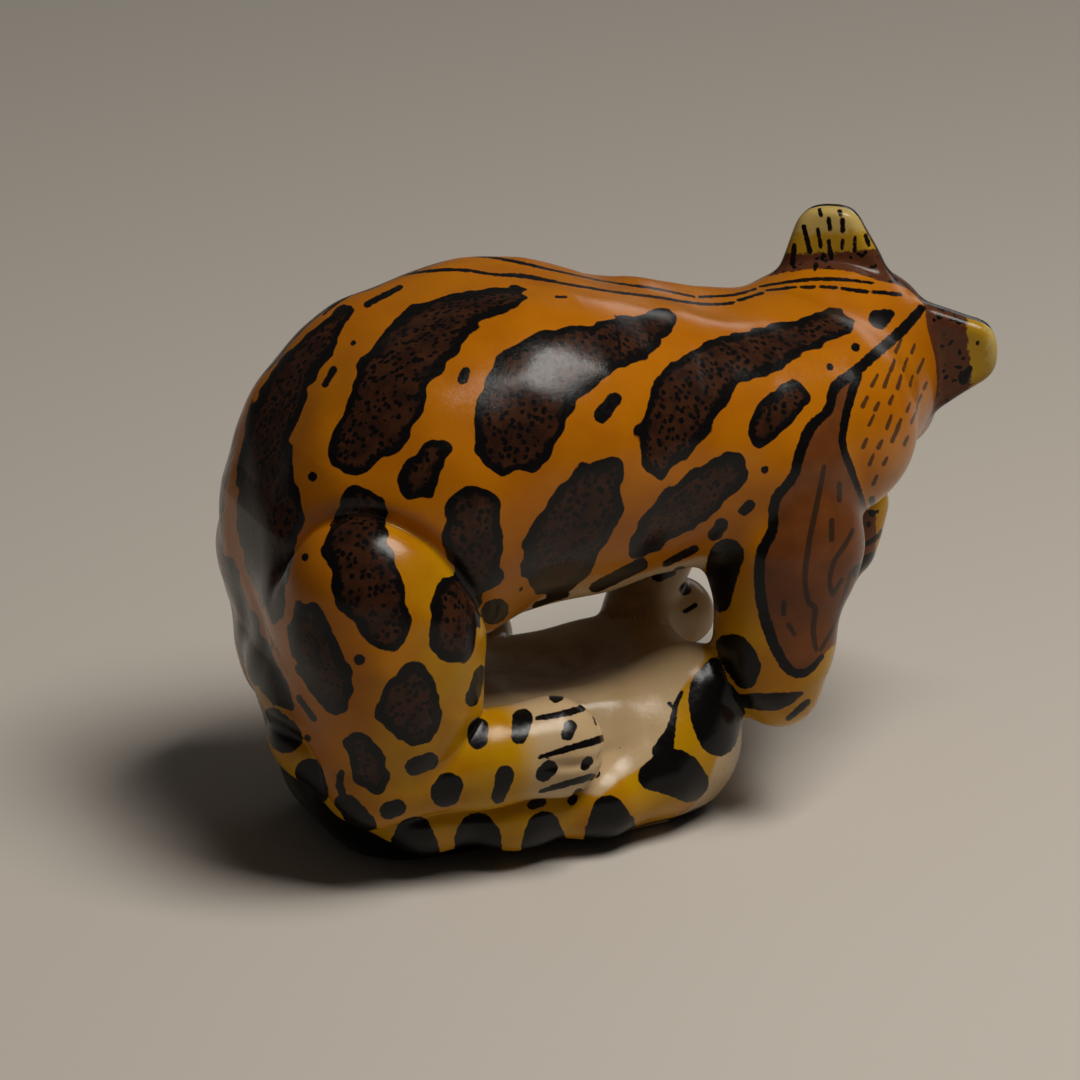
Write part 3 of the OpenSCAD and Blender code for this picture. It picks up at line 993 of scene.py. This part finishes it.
def gloss(tree, at, shader):
    """A hand-rubbed gloss, with a faint bump, over slightly waxy nut."""
    rough = noise(tree, at, 3.0, 4.0, 0.7)
    link(tree, ramp(tree, rough, 0.3, 0.7, 0.16, 0.27), shader.inputs["Roughness"])
    bump = tree.nodes.new("ShaderNodeBump")
    bump.inputs["Strength"].default_value = 0.3
    bump.inputs["Distance"].default_value = 0.04 * MM
    link(tree, rough, bump.inputs["Height"])
    link(tree, bump.outputs[0], shader.inputs["Normal"])
    shader.inputs["Specular IOR Level"].default_value = 0.22
    shader.inputs["Subsurface Weight"].default_value = 0.06
    shader.inputs["Subsurface Radius"].default_value = (1.0, 0.45, 0.15)
    shader.inputs["Subsurface Scale"].default_value = 0.5 * MM


def painted_nut():
    """Dyed and inked vegetable ivory under a hand-rubbed gloss."""
    material, tree, shader = new_material("painted_nut")
    at = in_millimetres(tree)
    fine = math_node(tree, "SUBTRACT", noise(tree, at, 2.2, 3.0, 0.6), 0.5)
    slow = math_node(tree, "SUBTRACT", noise(tree, at, 0.55, 1.0), 0.5)
    colour = painted_areas(tree, at, fine, nut_and_dye(tree, at))
    colour = rosettes(tree, at, fine, slow, colour)
    colour = mix(tree, within(tree, "stroke", fine, 0.1, -0.02, 0.05, 0.85), colour, PEN_BROWN)
    colour = mix(tree, within(tree, "ink", fine, 0.25, -0.03, 0.04), colour, BLACK)
    link(tree, colour, shader.inputs["Base Color"])
    gloss(tree, at, shader)
    return material


# ---- pieces

def dye_weights(carving, near):
    """How strongly each vertex is dyed, and how yellow the dye is."""
    x, y, z = carving.points.T
    down = -carving.normals[:, 2]
    torso = carving.on("torso")
    dye = np.ones(len(x))
    belly = step_between(down, 0.66, 0.76) * step_between(x, -12, -9)
    throat = step_between(x, 21, 24) * (1 - step_between(z, 16, 27))
    dye[torso] = ((1 - belly) * (1 - 0.8 * throat))[torso]
    for side, forward in (("right", 0), ("left", LEFT_LEG_FORWARD)):
        foot = carving.on(side + "_hind_foot")
        dye[foot] = (1 - step_between(x - forward, -4.6, -2.2))[foot]
    dye[carving.on("base", "left_forepaw")] = 0
    foreleg = carving.on("left_foreleg")
    dye[foreleg] = (step_between(carving.normals[:, 1], -0.1, 0.15) * step_between(z, 11, 13))[foreleg]
    flat = near.flat(carving.points)[:, :2]
    bare = np.minimum(polygon_distance(flat, TAIL_TOP), polygon_distance(flat, TAIL_TIP))
    tail = carving.on("tail")
    dye[tail] = step_between(bare, -0.1, 0.1)[tail]
    ahead, left, up = head_places(carving.points).T
    face = carving.on("head", "muzzle")
    dye[face] = step_between(up + 0.35 * np.abs(left) - 0.3 * ahead, -5.0, -1.5)[face]
    yellow = (1 - step_between(z, 9, 22)) * step_between(x, -17, -11)
    yellow[carving.on("tail", "right_forepaw", "right_forearm")] = 1
    for side, forward in (("right", 0), ("left", LEFT_LEG_FORWARD)):
        thigh = carving.on(side + "_thigh")
        yellow[thigh] = np.maximum(yellow, step_between(x - forward, -14.5, -9))[thigh]
    return dye, yellow


def shade_and_stain_weight(carving):
    """How deeply the undyed ground is browned: most in the hollow under the belly, as stain and painted
    shade, and on the far foreleg's back-facing side, as painted shade.
    """
    x, y = carving.points[:, 0], carving.points[:, 1]
    shade_and_stain = np.zeros(len(x))
    ground = carving.on("base")
    # stain and painted shade in the hollow under the belly, on its upward slopes
    valley = np.exp(-((y - 1.5) / 3.0) ** 2) * (1 - step_between(x, 5, 10))
    shade_and_stain[ground] = (0.7 * valley * step_between(carving.normals[:, 2], 0.2, 0.7))[ground]
    # painted shade: the far foreleg darker on its side that faces back
    leg = carving.on("left_foreleg", "left_forepaw")
    shade_and_stain[leg] = (0.6 * step_between(-carving.normals[:, 0], -0.3, 0.6))[leg]
    return shade_and_stain


def build_piece(name, carving, fields, material):
    """One closed mesh of the carving, with its marks as attributes."""
    quads = carving.faces[name]
    used, faces = np.unique(quads, return_inverse=True)
    mesh = bpy.data.meshes.new(name + "_carved")
    mesh.from_pydata((carving.points[used] * MM).tolist(), [], faces.reshape(-1, 4).tolist())
    mesh.shade_smooth()
    mesh.update()
    normals = np.zeros(len(used) * 3, np.float32)
    mesh.vertices.foreach_get("normal", normals)
    normals = normals.reshape(-1, 3)
    outside = carving.outside[used]
    normals[outside] = carving.normals[used][outside]
    mesh.normals_split_custom_set_from_vertices(normals.tolist())
    for key, values in fields.items():
        layer = mesh.attributes.new(key, "FLOAT", "POINT")
        layer.data.foreach_set("value", values[used].astype(np.float32))
    mesh.materials.append(material)
    piece = bpy.data.objects.new(name + "_carved", mesh)
    bpy.context.scene.collection.objects.link(piece)
    return piece


def build_figure():
    carving = Carving(carve_figure())
    near = Easel(carving, VIEW_RIGHT, VIEW_UP, EASEL_MIDDLE)
    fields = paint(carving, near)
    fields["dye"], fields["yellow"] = dye_weights(carving, near)
    # brown of stain and painted shade on the undyed ground and the far foreleg
    fields["shade_and_stain"] = shade_and_stain_weight(carving)
    material = painted_nut()
    for name in carving.names:
        piece = build_piece(name, carving, fields, material)
        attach(piece, "root")
        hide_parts(name)


# ---- the studio

def build_camera():
    """A long lens, looking the way the figure is drawn, with the figure a little right of the middle."""
    distance = 0.5
    width_seen = 69.2 * MM
    middle = (Vector(cad_box[0]) + Vector(cad_box[1])) / 2
    target = middle - VIEW_RIGHT * 5.2 * MM - VIEW_UP * 1.0 * MM
    camera = bpy.data.objects.new("camera", bpy.data.cameras.new("camera"))
    camera.location = target + VIEW_BACK * distance
    camera.rotation_euler = VIEW_BACK.to_track_quat("Z", "Y").to_euler()
    camera.data.sensor_width = 36
    camera.data.lens = 36 * distance / width_seen
    camera.data.clip_start = 0.01
    bpy.context.scene.collection.objects.link(camera)
    bpy.context.scene.camera = camera


def add_light(name, place, size, power, colour):
    """A rectangular lamp aimed at the figure."""
    aim = (0.005, 0, 0.018)
    light = bpy.data.lights.new(name, "AREA")
    light.shape = "RECTANGLE"
    light.size, light.size_y = size
    light.energy = power
    light.color = colour
    lamp = bpy.data.objects.new(name, light)
    lamp.location = place
    lamp.rotation_euler = (Vector(place) - Vector(aim)).to_track_quat("Z", "Y").to_euler()
    bpy.context.scene.collection.objects.link(lamp)


def build_studio():
    """A plain pale floor under soft light."""
    bpy.ops.mesh.primitive_plane_add(size=4)
    floor = bpy.context.object
    floor.name = "floor"
    material, tree, shader = new_material("pale_floor")
    shader.inputs["Base Color"].default_value = (0.50, 0.46, 0.41, 1)
    shader.inputs["Roughness"].default_value = 0.85
    floor.data.materials.append(material)
    add_light("key", (0.09, -0.11, 0.31), size=(0.15, 0.15), power=1.05, colour=(1.0, 0.96, 0.90))
    add_light("back", (0.32, 0.28, 0.16), size=(0.25, 0.12), power=0.10, colour=(1.0, 0.98, 0.95))
    world = bpy.context.scene.world or bpy.data.worlds.new("world")
    bpy.context.scene.world = world
    world.use_nodes = True
    background = world.node_tree.nodes["Background"]
    background.inputs["Color"].default_value = (1.0, 0.94, 0.85, 1)
    background.inputs["Strength"].default_value = 0.04
    bpy.context.scene.view_settings.view_transform = "Standard"


build_camera()
build_studio()
build_figure()
